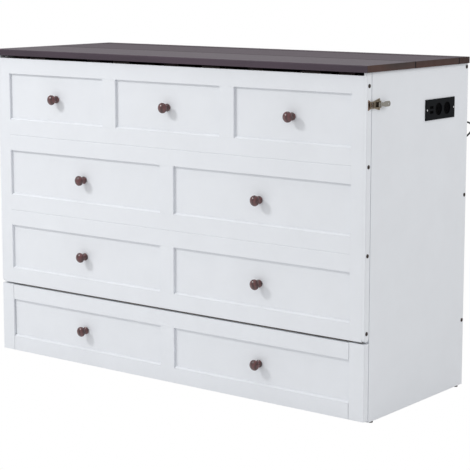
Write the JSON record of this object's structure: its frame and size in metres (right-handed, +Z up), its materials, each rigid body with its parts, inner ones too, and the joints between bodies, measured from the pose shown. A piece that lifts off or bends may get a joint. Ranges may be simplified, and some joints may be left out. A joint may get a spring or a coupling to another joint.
{
  "type": "cabinet bed",
  "caption": "Queen cabinet bed that closes into a white chest with mock drawers and a dark plank lid; panel and lid fold out over a rolling drawer unit.",
  "frame": {"origin": "middle of the closed cabinet's footprint, knobs included, on the floor", "axes": "+X across the front to the outlet side, +Y from the front to the back, +Z up"},
  "size_m": [1.66, 0.7974, 1.15],
  "materials": {
    "white_paint": "satin painted board",
    "walnut": "dark stained planks",
    "knob_wood": "glossy lacquer",
    "raw_wood": "clear sealed",
    "steel": "zinc plated",
    "dark_steel": "bronze plated",
    "antique_brass": "antique",
    "outlet_black": "satin",
    "cord_black": "vinyl",
    "glide_plastic": "matte",
    "wheel_rubber": "matte",
    "ticking": "quilted knit"
  },
  "bodies": {
    "cabinet": {"side_panel_right": "white_paint", "side_panel_left": "white_paint", "back_frame": "white_paint", "back_panels": "white_paint", "cabinet_bolts": "dark_steel", "cabinet_glides": "glide_plastic", "deck_slats": "raw_wood", "deck_cleats": "raw_wood", "deck_bearers": "raw_wood", "front_stretcher": "raw_wood", "pivot_brackets": "steel", "outlet_faceplate": "outlet_black", "outlet_housing": "outlet_black", "outlet_inserts": "outlet_black", "outlet_screws": "steel", "latch_bases": "antique_brass", "cord_strain_relief": "cord_black", "power_cord": "cord_black", "power_cord_coil": "cord_black", "power_plug": "cord_black", "mattress_head_section": "ticking", "mattress_middle_section": "ticking", "mattress_foot_section": "ticking"},
    "front_panel": {"panel_rails": "white_paint", "panel_mid_stiles": "white_paint", "panel_stiles": "white_paint", "panel_recess_panels": "white_paint", "panel_end_boards": "white_paint", "panel_deck_sheet": "raw_wood", "panel_knobs": "knob_wood", "panel_bolts": "dark_steel", "hinge_panel_leaves": "dark_steel", "latch_strikes": "antique_brass"},
    "lid": {"lid_planks": "walnut", "lid_battens": "walnut", "lid_deck_sheet": "raw_wood", "hinge_lid_leaves": "dark_steel"},
    "drawer_unit": {"unit_stiles": "white_paint", "unit_side_boards": "raw_wood", "unit_back_board": "raw_wood", "unit_deck": "raw_wood", "unit_rails": "raw_wood", "caster_forks": "steel", "runner_outer_members": "steel"},
    "drawer": {"drawer_front_frame": "white_paint", "drawer_front_panels": "white_paint", "drawer_knobs": "knob_wood", "drawer_box_ends": "raw_wood", "drawer_box_sides": "raw_wood", "drawer_bottom": "raw_wood", "runner_inner_members": "steel"},
    "runner_middles": {"runner_middle_members": "steel"},
    "wheel_front_right": {"caster_wheel_front_right": "wheel_rubber"},
    "wheel_front_left": {"caster_wheel_front_left": "wheel_rubber"},
    "wheel_rear_right": {"caster_wheel_rear_right": "wheel_rubber"},
    "wheel_rear_left": {"caster_wheel_rear_left": "wheel_rubber"},
    "lever_right": {"latch_lever_right": "antique_brass"},
    "lever_left": {"latch_lever_left": "antique_brass"},
    "bail_right": {"latch_bail_right": "antique_brass"},
    "bail_left": {"latch_bail_left": "antique_brass"}
  },
  "joints": [
    {"name": "front_panel_fold", "type": "hinge", "parent": "cabinet", "child": "front_panel", "pos_m": [0, -0.2865, 0.2845], "axis": [1, 0, 0], "range_deg": [0, 90]},
    {"name": "lid_fold", "type": "hinge", "parent": "front_panel", "child": "lid", "pos_m": [0, -0.2995, 1.12275], "axis": [1, 0, 0], "range_deg": [0, 90]},
    {"name": "drawer_unit_roll", "type": "slide", "parent": "cabinet", "child": "drawer_unit", "axis": [0, -1, 0], "range_m": [0, 1.482]},
    {"name": "drawer_slide", "type": "slide", "parent": "drawer_unit", "child": "drawer", "axis": [0, -1, 0], "range_m": [0, 0.42]},
    {"name": "runner_middle_slide", "type": "slide", "parent": "drawer_unit", "child": "runner_middles", "axis": [0, -1, 0], "range_m": [0, 0.21]},
    {"name": "wheel_front_right_roll", "type": "hinge", "parent": "drawer_unit", "child": "wheel_front_right", "pos_m": [0.766, -0.2135, 0.02], "axis": [1, 0, 0], "range_deg": [0, 4246]},
    {"name": "wheel_front_left_roll", "type": "hinge", "parent": "drawer_unit", "child": "wheel_front_left", "pos_m": [-0.766, -0.2135, 0.02], "axis": [1, 0, 0], "range_deg": [0, 4246]},
    {"name": "wheel_rear_right_roll", "type": "hinge", "parent": "drawer_unit", "child": "wheel_rear_right", "pos_m": [0.766, 0.2385, 0.02], "axis": [1, 0, 0], "range_deg": [0, 4246]},
    {"name": "wheel_rear_left_roll", "type": "hinge", "parent": "drawer_unit", "child": "wheel_rear_left", "pos_m": [-0.766, 0.2385, 0.02], "axis": [1, 0, 0], "range_deg": [0, 4246]},
    {"name": "latch_lever_right", "type": "hinge", "parent": "cabinet", "child": "lever_right", "pos_m": [0.824, -0.2415, 1.026], "axis": [0, 0, -1], "range_deg": [0, 120]},
    {"name": "latch_bail_right", "type": "hinge", "parent": "lever_right", "child": "bail_right", "pos_m": [0.821, -0.2315, 1.026], "axis": [0, 0, -1], "range_deg": [-120, 0]},
    {"name": "latch_lever_left", "type": "hinge", "parent": "cabinet", "child": "lever_left", "pos_m": [-0.824, -0.2415, 1.026], "axis": [0, 0, 1], "range_deg": [0, 120]},
    {"name": "latch_bail_left", "type": "hinge", "parent": "lever_left", "child": "bail_left", "pos_m": [-0.821, -0.2315, 1.026], "axis": [0, 0, 1], "range_deg": [-120, 0]}
  ],
  "couplings": [
    {"joint": "runner_middle_slide", "follows": "drawer_slide", "ratio": 0.5},
    {"joint": "wheel_front_right_roll", "follows": "drawer_unit_roll", "rad_per_m": 50},
    {"joint": "wheel_front_left_roll", "follows": "drawer_unit_roll", "rad_per_m": 50},
    {"joint": "wheel_rear_right_roll", "follows": "drawer_unit_roll", "rad_per_m": 50},
    {"joint": "wheel_rear_left_roll", "follows": "drawer_unit_roll", "rad_per_m": 50},
    {"joint": "latch_bail_right", "follows": "latch_lever_right", "ratio": -1},
    {"joint": "latch_bail_left", "follows": "latch_lever_left", "ratio": -1}
  ]
}
